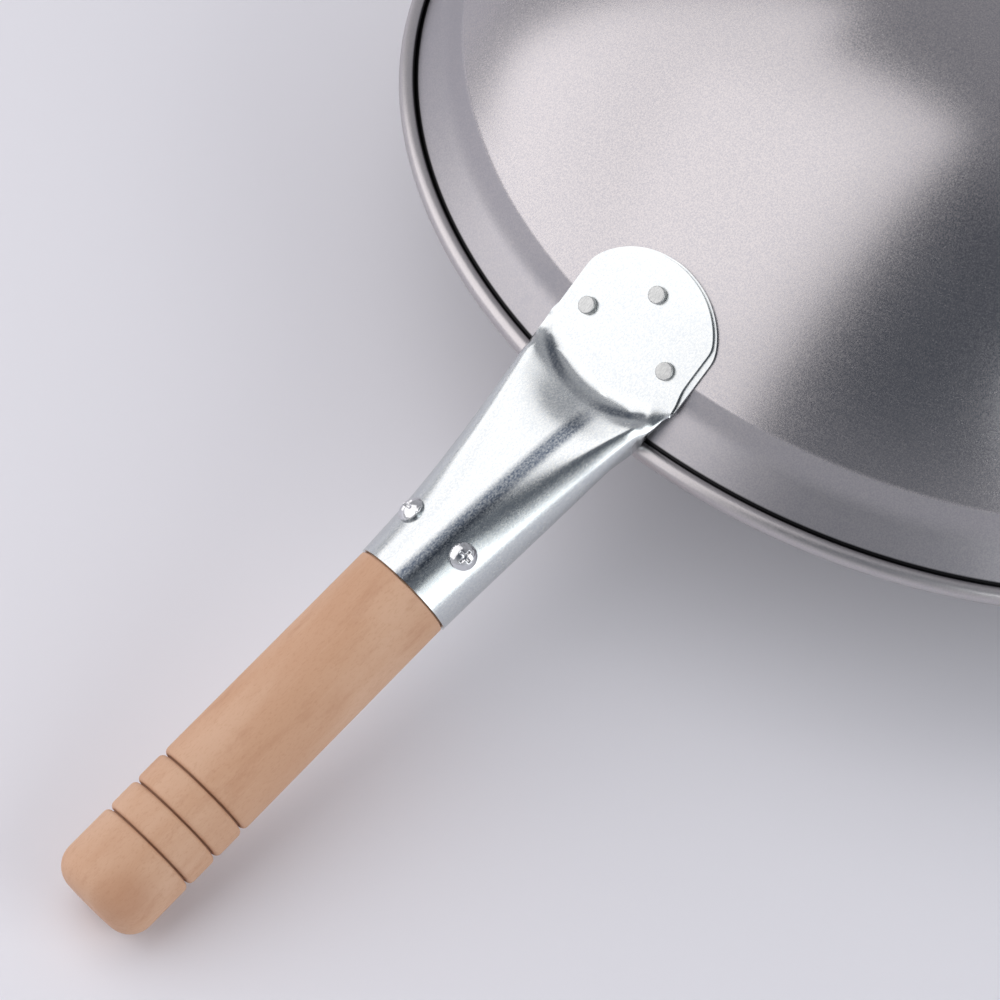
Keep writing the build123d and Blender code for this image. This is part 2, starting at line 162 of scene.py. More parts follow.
class WokColours(bpy.types.PropertyGroup):
    """Colours of the finishes."""
    steel: a_colour("Steel", "Satin carbon steel", (0.527, 0.497, 0.494))
    # Dark grain colour of the steel, also used for the painted shade of the band beside the rim
    steel_grain_and_shade: a_colour("Steel Grain and Shade", "Dark grains of the steel, and the painted shade of the band", (0.31, 0.31, 0.345))
    steel_bead: a_colour("Steel Bead", "Polished steel of the curled rim", (0.68, 0.64, 0.63))
    # Painted shade: near-black colour of the shadow in the slit beside the curled rim
    slit_painted_shade: a_colour("Slit Shade", "Painted shade in the slit beside the curled rim", (0.004, 0.004, 0.005))
    zinc: a_colour("Zinc", "Bright zinc plating", (0.68, 0.70, 0.69))
    zinc_dark: a_colour("Zinc Grain", "Dark grains of the plating", (0.36, 0.42, 0.50))
    # Painted reflection: dark colour that stands in for the room's dark reflection along the top of the
    # tube
    zinc_dark_reflection: a_colour("Zinc Dark Reflection", "Painted dark reflection along the top of the tube", (0.06, 0.08, 0.115))
    rivet: a_colour("Rivet", "Dull rivet steel", (0.60, 0.61, 0.60))
    rivet_dark: a_colour("Rivet Scuffs", "Scuffs on the rivets", (0.40, 0.41, 0.41))
    screw: a_colour("Screw", "Bright screw plating", (0.66, 0.67, 0.69))
    screw_dark: a_colour("Screw Wear", "Worn plating on the screws", (0.35, 0.34, 0.32))
    wood: a_colour("Wood", "Main colour of the wood", (0.570, 0.335, 0.210))
    wood_light: a_colour("Wood Light", "Pale flecks in the wood", (0.630, 0.402, 0.272))
    wood_dark: a_colour("Wood Dark", "Brown patches in the wood", (0.420, 0.200, 0.107))
    # Painted shade: dark colour of the shade on the floor of the grooves
    wood_groove_shade: a_colour("Wood Groove Shade", "Painted shade on the floor of the grooves", (0.200, 0.075, 0.040))
    floor: a_colour("Floor", "Pale table", (0.800, 0.796, 0.846))


class WokStudio(bpy.types.PropertyGroup):
    """Camera and lamps."""
    camera_place: a_place("Camera Place", "Where the camera stands", (0.7425305, 0.5018741, 1.2658045))
    camera_turn: bpy.props.FloatVectorProperty(
        name="Camera Turn", description="How the camera is turned", subtype="EULER",
        default=(radians(33.639845), radians(-4.598152), radians(135.190693)))
    camera_lens: bpy.props.FloatProperty(
        name="Lens", description="Focal length of the camera", unit="CAMERA", default=180.0)
    table_width: a_size("Table Width", "Width of the square table", 12.0)
    key_place: a_place("Key Place", "Middle of the large softbox", (2.44, -4.71, 1.5))
    key_turn: an_angle("Key Turn", "Turn of the large softbox about the vertical", 6)
    key_width: a_size("Key Width", "Width of the large softbox", 4.5)
    key_length: a_size("Key Length", "Length of the large softbox", 10.0)
    wing_width: a_size("Wing Width", "Width of the strip beside the large softbox", 0.30)
    wing_setback: a_size("Wing Setback", "How much shorter the strip is than the large softbox", 0.80)
    heart_place: a_place(
        "Heart Place", "Middle of the bright heart over the large softbox", (0.80, -0.75, 1.6))
    heart_size: bpy.props.FloatVectorProperty(
        name="Heart Size", description="Width and length of the bright heart", size=2, unit="LENGTH",
        default=(1.5, 1.3))
    heart_share: bpy.props.FloatProperty(
        name="Heart Share", description="Brightness of the heart against the large softbox",
        subtype="FACTOR", default=0.18)
    key_colour: a_colour("Key Colour", "Colour of the large softbox", (1.0, 0.965, 0.955))
    key_glow: a_share("Key Glow", "Brightness of the large softbox's face", 1.35)
    side_place: a_place("Side Place", "Middle of the side softbox", (-0.20, 1.30, 0.66))
    side_turn: bpy.props.FloatVectorProperty(
        name="Side Turn", description="How the side softbox is turned", subtype="EULER",
        default=(radians(-78), 0.0, radians(8)))
    side_size: bpy.props.FloatVectorProperty(
        name="Side Size", description="Width and height of the side softbox", size=2, unit="LENGTH",
        default=(1.1, 1.5))
    side_colour: a_colour("Side Colour", "Colour of the side softbox", (0.97, 1.0, 1.0))
    side_glow: a_share("Side Glow", "Brightness of the side softbox's face", 1.9)
    horizon: a_colour("Horizon", "Colour of the room at table height", (0.62, 0.62, 0.65))
    zenith: a_colour("Zenith", "Colour of the room overhead", (0.105, 0.12, 0.145))
    back_wall: a_colour("Back Wall", "Colour of the room past the bowl", (0.50, 0.50, 0.53))


class WokSettings(bpy.types.PropertyGroup):
    """Everything that the wok's operators read."""
    pose: a_group(WokPose, "Pose", "How the wok lies")
    bowl: a_group(WokBowlSizes, "Bowl", "Sizes of the bowl")
    socket: a_group(WokSocketSizes, "Socket", "Sizes of the socket")
    grip: a_group(WokGripSizes, "Grip", "Sizes of the grip")
    colours: a_group(WokColours, "Colours", "Colours of the finishes")
    studio: a_group(WokStudio, "Studio", "Camera and lamps")


class Wire:
    """A socket of a finish. Arithmetic on it adds Math nodes."""

    def __init__(self, finish, socket):
        self.finish = finish
        self.socket = socket

    def reckon(self, operation, first, second):
        return self.finish.node("ShaderNodeMath", {"operation": operation}, {0: first, 1: second})

    def __add__(self, other):
        return self.reckon("ADD", self, other)

    __radd__ = __add__

    def __sub__(self, other):
        return self.reckon("SUBTRACT", self, other)

    def __rsub__(self, other):
        return self.reckon("SUBTRACT", other, self)

    def __mul__(self, other):
        return self.reckon("MULTIPLY", self, other)

    __rmul__ = __mul__

    def __truediv__(self, other):
        return self.reckon("DIVIDE", self, other)

    def __pow__(self, other):
        return self.reckon("POWER", self, other)


class Nodes:
    """A tree of nodes that is written as arithmetic."""

    def __init__(self, tree):
        self.tree = tree
        self.tree.nodes.clear()

    def node(self, kind, settings, inputs, output=0):
        """Adds a node, sets it up, fills its sockets and returns one of its outputs."""
        made = self.tree.nodes.new(kind)
        for name, value in settings.items():
            setattr(made, name, value)
        for key, value in inputs.items():
            if isinstance(value, Wire):
                self.tree.links.new(value.socket, made.inputs[key])
            else:
                made.inputs[key].default_value = value
        return Wire(self, made.outputs[output])

    def place(self, centre, turn):
        """Object coordinates seen from a part of the wok that is moved and turned."""
        here = self.node("ShaderNodeTexCoord", {}, {}, "Object")
        return self.node("ShaderNodeMapping", {"vector_type": "TEXTURE"},
                         {"Vector": here, "Location": centre, "Rotation": turn})

    def stretched(self, here, scale):
        return self.node("ShaderNodeMapping", {}, {"Vector": here, "Scale": scale})

    def noise(self, here, scale, detail=2.0, roughness=0.5):
        return self.node("ShaderNodeTexNoise", {},
                         {"Vector": here, "Scale": scale, "Detail": detail, "Roughness": roughness},
                         "Fac")

    def between(self, value, low, high):
        """0 below low, 1 above high, and a smooth step between them."""
        return self.node("ShaderNodeMapRange", {"interpolation_type": "SMOOTHSTEP"},
                         {"Value": value, "From Min": low, "From Max": high})

    def mix(self, share, first, second):
        return self.node("ShaderNodeMix", {"data_type": "RGBA"},
                         {0: share, 6: first, 7: second}, 2)

    def axis(self, here, letter):
        return self.node("ShaderNodeSeparateXYZ", {}, {"Vector": here}, letter)

    def joined(self, first, second, third=0.0):
        return self.node("ShaderNodeCombineXYZ", {}, {0: first, 1: second, 2: third})

    def length(self, *sides):
        """Length of a run, or the size of one value whatever its sign."""
        return sum(side * side for side in sides) ** 0.5

    def distance(self, here, centre):
        return self.node("ShaderNodeVectorMath", {"operation": "DISTANCE"}, {0: here, 1: centre},
                         "Value")

    def bump(self, height, strength, reach):
        return self.node("ShaderNodeBump", {},
                         {"Height": height, "Strength": strength, "Distance": reach})

    def finish(self, kind, surface):
        """Joins a surface to the tree's output."""
        end = self.tree.nodes.new(kind)
        self.tree.links.new(surface.socket, end.inputs["Surface"])


class Finish(Nodes):
    """A material that is put together from nodes."""

    def __init__(self, name):
        self.material = bpy.data.materials.new(name)
        self.material.use_nodes = True
        super().__init__(self.material.node_tree)

    def skin(self, **inputs):
        """Principled surface. Underscores in the names stand for spaces."""
        words = {name.replace("_", " "): value for name, value in inputs.items()}
        self.finish("ShaderNodeOutputMaterial", self.node("ShaderNodeBsdfPrincipled", {}, words))
        return self.material


def opaque(colour):
    return (colour[0], colour[1], colour[2], 1.0)


def bowl_place(finish, pose):
    """Coordinates with the bowl's axis as Z and the rim plane at 0."""
    return finish.place(tuple(pose.rim_centre), (0.0, -pose.tilt, 0.0))


def handle_place(finish, pose):
    """Coordinates with the handle's axis as Z, outwards from the collar."""
    return finish.place(tuple(pose.collar_centre), (0.0, pi / 2 + pose.handle_fall, 0.0))


def spun_steel(settings):
    """Satin cold rolled steel with a fine grain, faint spinning lines, a rougher band whose darkening
    is painted shade, and painted shade in the slit.
    """
    colours = settings.colours
    finish = Finish("spun_steel")
    here = bowl_place(finish, settings.pose)
    outwards, sideways = finish.axis(here, "X"), finish.axis(here, "Y")
    radius = finish.length(outwards, sideways)
    angle = finish.node("ShaderNodeMath", {"operation": "ARCTAN2"}, {0: sideways, 1: outwards})
    grain = finish.noise(here, 2100.0, 2.0, 0.6)
    cloud = finish.noise(here, 16.0, 3.0, 0.5)
    blotch = finish.noise(here, 95.0, 4.0, 0.6)
    lines = finish.noise(finish.joined(radius * 1500.0, angle * 9.0), 1.0)
    sizes = settings.bowl
    curl_centre, _, _, crease, _, _ = bowl_corners(sizes)
    band = finish.between(radius, crease[0] - 0.0002, crease[0] + 0.0004)
    near_socket = 1.0 - finish.between(finish.length(sideways), 0.020, 0.060)
    stain = finish.between(blotch, 0.50, 0.66) * band * (0.25 + near_socket * 0.5)
    tone = finish.between(grain, 0.30, 0.70)
    colour = finish.mix(0.30 + 0.55 * tone, opaque(colours.steel_grain_and_shade), opaque(colours.steel))
    colour = finish.mix(stain * 0.45, colour, opaque(colours.steel_grain_and_shade))
    # Painted shade: the band beside the rim is darkened to stand in for the shaded table it reflects;
    # it is also rougher, in the roughness below
    colour = finish.mix(band * 0.32, colour, opaque(colours.steel_grain_and_shade))
    bead = finish.between(radius, curl_centre[0] - 0.0012, curl_centre[0])
    colour = finish.mix(bead * 0.35, colour, opaque(colours.steel_bead))
    slit = along(curl_centre, slope_up(sizes.flare_slope), sizes.curl_radius)
    slit = along(slit, slope_out(sizes.flare_slope), sizes.curl_slit / 2 - sizes.curl_standoff)
    from_slit = finish.distance(finish.joined(radius, finish.axis(here, "Z")), (slit[0], slit[1], 0.0))
    # Painted shade: the slit between the curl and the wall is darkened nearly to black where its shadow
    # falls
    slit_shade = 1.0 - finish.between(from_slit, 0.0008, 0.0014)
    colour = finish.mix(slit_shade * 0.96, colour, opaque(colours.slit_painted_shade))
    rough = 0.22 + tone * 0.05 + (cloud - 0.5) * 0.06 + band * 0.10 + (lines - 0.5) * 0.05
    height = grain * 0.7 + lines * 0.3
    return finish.skin(Base_Color=colour, Metallic=1.0, Roughness=rough,
                       Normal=finish.bump(height, 0.22, 0.00006))


def bright_zinc(settings):
    """Bright, frosty plating, with a painted dark reflection along the top of the tube that splits in
    two where the tube is pressed flat.
    """
    colours = settings.colours
    press_station, press_radius = settings.socket.press_station, settings.socket.press_radius
    finish = Finish("bright_zinc")
    here = handle_place(finish, settings.pose)
    fine = finish.noise(finish.stretched(here, (1.0, 1.0, 0.7)), 1900.0, 2.0, 0.6)
    frost = finish.noise(here, 260.0, 4.0, 0.6)
    cloud = finish.noise(here, 45.0, 2.0, 0.5)
    tone = finish.between(fine, 0.28, 0.72)
    colour = finish.mix(0.62 + 0.38 * tone, opaque(colours.zinc_dark), opaque(colours.zinc))
    station, lateral = 0.0 - finish.axis(here, "Z"), finish.axis(here, "Y")
    # Painted reflection: a dark band along the top of the tube and two arms round the foot of the
    # pressed ramp stand in for the dark part of the room seen in the plating
    drift = lateral - 0.0030 - station * 0.06
    reflection_streak = 1.0 - finish.between(finish.length(drift), 0.0010, 0.0036)
    reflection_streak = reflection_streak * (1.0 - finish.between(station, 0.066, 0.078))
    foot = station - press_station - lateral * lateral / (2 * press_radius)
    aside = finish.length(lateral)
    reflection_fork = 1.0 - finish.between(finish.length(foot + 0.0018), 0.0006, 0.0024)
    reflection_fork = reflection_fork * (1.0 - finish.between(aside, 0.016, 0.023))
    reflection_fork = reflection_fork * (0.35 + 0.65 * finish.between(aside, 0.003, 0.011))
    reflection_streak = reflection_streak + reflection_fork * 0.9 - reflection_streak * reflection_fork * 0.9
    reflection_streak = reflection_streak * finish.between(0.0 - finish.axis(here, "X"), 0.0, 0.010)
    colour = finish.mix(reflection_streak * (0.98 - 0.35 * tone), colour, opaque(colours.zinc_dark_reflection))
    rough = 0.17 + 0.10 * frost + 0.05 * tone + (cloud - 0.5) * 0.06
    height = fine * 0.6 + frost * 0.4
    return finish.skin(Base_Color=colour, Metallic=1.0, Roughness=rough,
                       Normal=finish.bump(height, 0.20, 0.00007))


def rivet_steel(settings):
    """Dull steel, scuffed and hammered."""
    colours = settings.colours
    finish = Finish("rivet_steel")
    here = bowl_place(finish, settings.pose)
    scuff = finish.noise(finish.stretched(here, (1.0, 6.0, 1.0)), 900.0, 3.0, 0.6)
    dent = finish.noise(here, 700.0, 1.0, 0.5)
    clean = finish.between(scuff, 0.3, 0.7)
    colour = finish.mix(clean, opaque(colours.rivet_dark), opaque(colours.rivet))
    return finish.skin(Base_Color=colour, Metallic=1.0, Roughness=0.34 + scuff * 0.18,
                       Normal=finish.bump(dent * 0.8 + scuff * 0.2, 0.5, 0.0002))


def turned_wood(settings):
    """Smooth pinkish hardwood with short flecks, painted shade in the grooves and a brown patch on the
    butt.
    """
    colours, sizes = settings.colours, settings.grip
    finish = Finish("turned_wood")
    here = handle_place(finish, settings.pose)
    fibre = finish.noise(finish.stretched(here, (1.0, 1.0, 0.07)), 1300.0, 3.0, 0.6)
    fleck = finish.noise(finish.stretched(here, (1.0, 1.0, 0.38)), 1900.0, 2.0, 0.6)
    cloud = finish.noise(finish.stretched(here, (1.0, 1.0, 0.30)), 60.0, 3.0, 0.55)
    flame = finish.noise(finish.stretched(here, (1.0, 1.0, 0.35)), 170.0, 4.0, 0.65)
    pale = finish.between(cloud, 0.35, 0.70)
    colour = finish.mix(pale, opaque(colours.wood), opaque(colours.wood_light))
    colour = finish.mix(finish.between(flame, 0.50, 0.74) * 0.30, colour, opaque(colours.wood_dark))
    colour = finish.mix(finish.between(fleck, 0.50, 0.72) * 0.22, colour, opaque(colours.wood_dark))
    colour = finish.mix(finish.between(fibre, 0.55, 0.75) * 0.30, colour, opaque(colours.wood_light))
    reach = finish.axis(here, "Z")
    off_axis = finish.length(finish.axis(here, "X"), finish.axis(here, "Y"))
    last_groove = sizes.first_groove + (sizes.groove_count - 1) * sizes.groove_pitch
    # Painted shade: the floors of the grooves are darkened where shade falls in them
    groove_shade = 1.0 - finish.between(off_axis, sizes.neck_radius - 0.00175, sizes.neck_radius - 0.00045)
    groove_shade = groove_shade * finish.between(reach, sizes.first_groove - 0.0038, sizes.first_groove - 0.0018)
    groove_shade = groove_shade * (1.0 - finish.between(reach, last_groove + 0.0024, last_groove + 0.0044))
    colour = finish.mix(groove_shade * 0.70, colour, opaque(colours.wood_groove_shade))
    butt_patch = (-0.0095, 0.0105, sizes.length - 0.0080)
    patch = 1.0 - finish.between(finish.distance(here, butt_patch), 0.002, 0.0125)
    patch = patch * (0.45 + flame * 0.6)
    colour = finish.mix(patch * 0.75, colour, opaque(colours.wood_dark))
    return finish.skin(Base_Color=colour, Roughness=0.52 + fleck * 0.16, Specular_IOR_Level=0.35,
                       Normal=finish.bump(fibre * 0.6 + fleck * 0.4, 0.25, 0.00012))


def bright_screw(settings):
    """Bright plating with light wear."""
    colours = settings.colours
    finish = Finish("bright_screw")
    here = handle_place(finish, settings.pose)
    wear = finish.noise(here, 1100.0, 3.0, 0.6)
    worn = finish.between(wear, 0.45, 0.75) * 0.35
    colour = finish.mix(worn, opaque(colours.screw), opaque(colours.screw_dark))
    return finish.skin(Base_Color=colour, Metallic=1.0, Roughness=0.10 + wear * 0.10,
                       Normal=finish.bump(wear, 0.15, 0.00008))


def pale_table(settings):
    """Matt table with a very faint mottling."""
    finish = Finish("pale_table")
    here = finish.node("ShaderNodeTexCoord", {}, {}, "Object")
    cloud = finish.noise(here, 3.0, 2.0, 0.5)
    floor = settings.colours.floor
    dull, pale = [[part * share for part in floor] for share in (0.99, 1.01)]
    colour = finish.mix(cloud, opaque(dull), opaque(pale))
    return finish.skin(Base_Color=colour, Roughness=0.75, Specular_IOR_Level=0.2)


def along(point, direction, distance):
    return (point[0] + direction[0] * distance, point[1] + direction[1] * distance)


def slope_up(angle):
    """Direction up a wall that leans inwards."""
    return (-cos(angle), sin(angle))


def slope_out(angle):
    """Outward normal of a wall that leans inwards."""
    return (sin(angle), cos(angle))


def moved_corner(point, first, second, distance):
    """Corner between two lines that are both moved along their normals."""
    share = distance / (1 + first[0] * second[0] + first[1] * second[1])
    return (point[0] + (first[0] + second[0]) * share, point[1] + (first[1] + second[1]) * share)


def softened(before, corner, after, reach):
    """Four points that take the sharpness off a corner."""
    points = []
    for end, share in ((before, 2.2), (before, 1.0), (after, 1.0), (after, 2.2)):
        run = (end[0] - corner[0], end[1] - corner[1])
        points.append(along(corner, run, share * reach / hypot(*run)))
    return points


def bowl_corners(sizes):
    """Middle of the curl, foot of the wall, bend, crease, and the dome's radius and slope."""
    curl_centre = (sizes.rim_radius - sizes.curl_radius, sizes.curl_radius)
    foot = along(curl_centre, slope_out(sizes.flare_slope), -sizes.curl_standoff)
    bend = along(foot, slope_up(sizes.flare_slope), sizes.flare_length)
    crease = along(bend, slope_up(sizes.step_slope), sizes.step_length)
    rise = sizes.depth - crease[1]
    dome_radius = (crease[0] ** 2 + rise**2) / (2 * rise)
    return curl_centre, foot, bend, crease, dome_radius, asin(crease[0] / dome_radius)


def bowl_rings(sizes):
    """Radius and height of every ring of the bowl, from the outside of the dome to its inside."""
    curl_centre, foot, bend, crease, dome_radius, dome_slope = bowl_corners(sizes)
    flare_out, flare_up = slope_out(sizes.flare_slope), slope_up(sizes.flare_slope)
    step_out = slope_out(sizes.step_slope)

    def dome(share, inset):
        turn = dome_slope * share
        reach = dome_radius - inset
        return (reach * sin(turn), sizes.depth - dome_radius + reach * cos(turn))

    def curl(turn):
        spot = along(curl_centre, flare_out, sizes.curl_radius * sin(turn))
        return along(spot, flare_up, sizes.curl_radius * cos(turn))

    count = sizes.dome_rings
    rings = [dome(0.05 / count, 0)]
    rings += [dome(step / count, 0) for step in range(1, count)]
    rings += softened(dome(1 - 1 / count, 0), crease, bend, sizes.crease_round)
    rings += softened(crease, bend, foot, sizes.bend_round)
    rings.append(foot)
    slit_wall = sizes.curl_slit - sizes.curl_standoff
    rings.append(along(curl_centre, flare_out, slit_wall))
    first_turn = asin(slit_wall / sizes.curl_radius)
    rings.append(along(curl(first_turn), flare_up, -sizes.crease_round))
    last_turn = 2 * pi - asin((sizes.curl_standoff + sizes.sheet) / sizes.curl_radius)
    arc_steps = 30
    rings += [curl(first_turn + 0.06 + (last_turn - first_turn - 0.06) * step / arc_steps)
              for step in range(arc_steps + 1)]
    inner_bend = moved_corner(bend, flare_out, step_out, -sizes.sheet)
    inner_crease = moved_corner(crease, step_out, slope_out(dome_slope), -sizes.sheet)
    rings += softened(curl(last_turn), inner_bend, inner_crease, sizes.bend_round)
    rings += softened(inner_bend, inner_crease, dome(1 - 1 / count, sizes.sheet), sizes.crease_round)
    rings += [dome(step / count, sizes.sheet) for step in range(count - 1, 0, -1)]
    rings.append(dome(0.05 / count, sizes.sheet))
    return rings


# Radius of the smallest ring beside a pole
pole_ring = 0.0003


def grip_rings(sizes):
    """Radius and distance of every ring of the grip, from the tip of the tenon to the butt."""
    swell = (sizes.butt_radius - sizes.neck_radius) / (sizes.length - sizes.corner)
    gap, edge = sizes.joint_gap, sizes.neck_edge
    rings = [(pole_ring, -sizes.tenon_length), (sizes.tenon_tip_radius - edge, -sizes.tenon_length)]
    rings += [(sizes.tenon_tip_radius, edge - sizes.tenon_length), (sizes.tenon_radius, 0.0)]
    rings += [(sizes.tenon_radius, gap), (sizes.neck_radius - edge, gap)]
    rings += [(sizes.neck_radius - edge * (1 - sin(turn)), gap + edge * (1 - cos(turn)))
              for turn in (radians(30), radians(60), radians(90))]
    for groove in range(sizes.groove_count):
        middle = sizes.first_groove + groove * sizes.groove_pitch
        top = sizes.neck_radius + swell * middle
        side = sizes.groove_floor / 2 + sizes.groove_shoulder
        for sign in (-1, 1):
            turns = [90, 68, 45, 22, 0][::-sign]
            centre = middle + sign * side
            shoulder = [(top - sizes.groove_shoulder * (1 - sin(radians(turn))),
                         centre - sign * sizes.groove_shoulder * cos(radians(turn))) for turn in turns]
            floor = [(top - sizes.groove_depth, middle + sign * sizes.groove_floor / 2 * 0.8)]
            rings += shoulder + floor if sign < 0 else floor + shoulder
        if groove + 1 < sizes.groove_count:
            rings.append((top + swell * sizes.groove_pitch / 2, middle + sizes.groove_pitch / 2))
    steps = 10
    for step in range(steps):
        turn = pi / 2 * step / steps
        rings.append((sizes.butt_radius - sizes.corner * (1 - cos(turn)),
                      sizes.length - sizes.corner * (1 - sin(turn))))
    rings.append((sizes.butt_radius - sizes.corner, sizes.length))
    rings.append(((sizes.butt_radius - sizes.corner) * 0.5, sizes.length))
    rings.append((pole_ring, sizes.length))
    return rings


def soft_step(value, low, high):
    share = min(max((value - low) / (high - low), 0), 1)
    return share * share * (3 - 2 * share)


def soft_max(first, second, softness):
    return (first + second + hypot(first - second, softness)) / 2


def soft_min(first, second, softness):
    return (first + second - hypot(first - second, softness)) / 2


class SocketShape:
    """Points of the socket's skin in the bowl's own frame."""
    # Distances from the collar between which the tube turns into the paddle
    flattening = (0.074, 0.090)
    wrapping = (0.060, 0.080)
    sharpening = (0.070, 0.082)
    flat_floor = (0.064, 0.0742)
    # Distances past the foot of the ramp between which the crescent sinks and rises
    crescent_start = (-0.001, 0.002)
    crescent_end = 0.004
    # Top of the tube over the upper layer, where the slit starts
    top_clearance = 0.0008
    # Fall of the upper layer towards the collar, metre for metre
    layer_fall = 0.353
    # Rows of the cage: wide ones up the tube, then close ones, then shares of the paddle's tip
    wide_stations = (0, 0.0012, 0.013, 0.025, 0.036, 0.045, 0.0515)
    close_from, close_rows = 0.055, 14
    tip_shares = (0.12, 0.24, 0.36, 0.47, 0.58, 0.68, 0.77, 0.85, 0.91, 0.955, 0.985, 1)
    # Past the start of the slit, the upper layer narrows over this distance
    narrowing = 0.008
    least_half_width = 0.0015

    def __init__(self, bowl, sizes):
        self.bowl, self.sizes = bowl, sizes
        curl_centre, _, _, self.crease, self.dome_radius, self.dome_slope = bowl_corners(bowl)
        run = (curl_centre[0] - self.crease[0], curl_centre[1] - self.crease[1])
        self.bridge_slope = -(atan2(run[1], run[0]) + asin(bowl.curl_radius / hypot(*run)))
        self.collar = (bowl.rim_radius + sizes.collar_past_rim, -sizes.collar_drop)
        self.inwards = (-cos(sizes.slope), sin(sizes.slope))
        self.upwards = (sin(sizes.slope), cos(sizes.slope))
        self.near_height = sizes.seat + 2 * sizes.sheet + sizes.layer_gap
        self.near_slope = self.bridge_slope - sizes.layer_lift
        # The cage stands out by this share, so that the smooth skin meets the size
        self.swell = 3 / (2 + cos(pi / sizes.columns))

    def tube_section(self, station, height):
        """Section point at a distance from the collar and a height over the handle's axis."""
        return along(along(self.collar, self.inwards, station), self.upwards, height)

    def paddle_section(self, reach, height, slope):
        """Section point of a layer, at a distance past the crease."""
        if reach > 0:
            turn = self.dome_slope - reach / self.dome_radius
            middle = (0, self.bowl.depth - self.dome_radius)
            return along(middle, slope_out(turn), self.dome_radius + height)
        start = along(self.crease, slope_out(self.bridge_slope), height)
        return along(start, slope_up(slope), reach)

    def station_of(self, section):
        """Distance from the collar and height over the handle's axis of a section point."""
        run = (section[0] - self.collar[0], section[1] - self.collar[1])
        return (run[0] * self.inwards[0] + run[1] * self.inwards[1],
                run[0] * self.upwards[0] + run[1] * self.upwards[1])

    def paddle_at(self, station, height, slope):
        """Height of a layer over the handle's axis, before the crease."""
        crease_station, crease_height = self.station_of(self.paddle_section(0, height, slope))
        fall_station, fall_height = self.station_of(self.paddle_section(-0.01, height, slope))
        share = (crease_station - station) / (crease_station - fall_station)
        return crease_height + (fall_height - crease_height) * share

    def oval(self, station, turn):
        """Lateral and height of the tube's skin where its normal is turned from the top."""
        sizes = self.sizes
        travel = station / sizes.rim_station
        top = sizes.collar_radius + (sizes.top_at_rim - sizes.collar_radius) * travel
        floor = -sizes.collar_radius + (sizes.floor_at_rim + sizes.collar_radius) * travel**2
        past = station - sizes.rim_station
        if past > 0:
            share = past / (sizes.width_station - sizes.rim_station)
            layer = self.paddle_at(station, self.near_height, self.near_slope)
            top += (layer + self.top_clearance - top) * share
            floor = self.paddle_at(station, sizes.seat, self.bridge_slope)
        spread = (station / sizes.width_station) ** 1.5
        half_width = sizes.collar_radius + (sizes.far_half_width - sizes.collar_radius) * min(spread, 1)
        middle, half_height = (top + floor) / 2, (top - floor) / 2
        fold = half_height * (1 + (sizes.fold_share - 1) * min(station / 0.02, 1))
        if half_width - fold < 1e-6:
            lateral, height = half_height * sin(turn), half_height * cos(turn)
        else:
            lean = 2 * atan2(half_height - fold, half_width - fold)
            flat = fold + (half_width - fold) / sin(lean)
            if abs(turn) <= lean:
                lateral, height = flat * sin(turn), half_height - flat + flat * cos(turn)
            else:
                sign = 1 if turn > 0 else -1
                lateral = sign * (half_width - fold) + fold * sin(turn)
                height = fold * cos(turn)
        return lateral * self.swell, middle + height * self.swell

    def pressed(self, station, lateral):
        """Height of the pressed ramp and the near layer over the handle's axis."""
        sizes = self.sizes
        foot = sizes.press_station + lateral**2 / (2 * sizes.press_radius)
        layer = self.paddle_at(station, self.near_height, self.near_slope)
        slope = tan(sizes.press_slope)
        past = station - foot
        ramp = soft_max(-past, 0, sizes.press_crease) * (slope + self.layer_fall)
        crescent = soft_step(past, *self.crescent_start)
        crescent *= 1 - soft_step(past, self.crescent_end, sizes.facet_reach)
        crescent *= max(1 - (lateral / sizes.near_half_width) ** 2, 0)
        return layer + ramp - crescent * sizes.facet_depth

    def in_space(self, section, lateral, wrap):
        """Point in the bowl's frame. With wrap, the section is turned about the bowl's axis."""
        flat, round_ = section[0], (section[0] ** 2 - lateral**2) ** 0.5
        return (flat + (round_ - flat) * wrap, lateral, section[1])

    def rows(self, upper):
        """Rows of cage points of the upper or the lower half, from the collar to the tip."""
        sizes = self.sizes
        half_width = sizes.near_half_width if upper else sizes.far_half_width
        tip = sizes.near_tip_radius if upper else sizes.far_tip_radius
        height = self.near_height if upper else sizes.seat
        slope = self.near_slope if upper else self.bridge_slope
        shares = [2 * column / sizes.columns - 1 for column in range(sizes.columns + 1)]
        close_step = (sizes.split_station - self.close_from) / self.close_rows
        stations = list(self.wide_stations)
        stations += [self.close_from + close_step * row for row in range(self.close_rows + 1)]
        crease_station = self.station_of(self.paddle_section(0, height, slope))[0]
        start = sizes.split_station + 0.0015 - crease_station
        reaches = [start * share for share in (1, 0.75, 0.5, 0.25, 0)]
        reaches += [tip * share for share in self.tip_shares]
        points = []
        for station in stations:
            flatness = soft_step(station, *self.flattening)
            softness = sizes.press_shoulder * (1 - 0.9 * soft_step(station, *self.sharpening))
            flat_floor = soft_step(station, *self.flat_floor)
            row = []
            for share in shares:
                lateral, level = self.oval(station, share * pi / 2 if upper else pi - share * pi / 2)
                lateral += (sizes.far_half_width * share - lateral) * flatness
                if abs(share) == 1:
                    level = self.oval(station, pi / 2)[1]
                elif upper:
                    level = soft_min(level, self.pressed(station, lateral), softness)
                else:
                    flat_level = self.paddle_at(station, height, slope)
                    level += (flat_level - level) * flat_floor * (1 - abs(share) ** 6)
                wrap = soft_step(station, *self.wrapping)
                row.append(self.in_space(self.tube_section(station, level), lateral, wrap))
            points.append(row)
        for reach in reaches:
            section = self.paddle_section(reach, height, slope)
            chord = max(tip**2 - max(reach, 0) ** 2, self.least_half_width**2) ** 0.5
            wider = 1 - soft_step(reach - start, 0, self.narrowing)
            width = min(half_width, chord) + (sizes.far_half_width - half_width) * wider
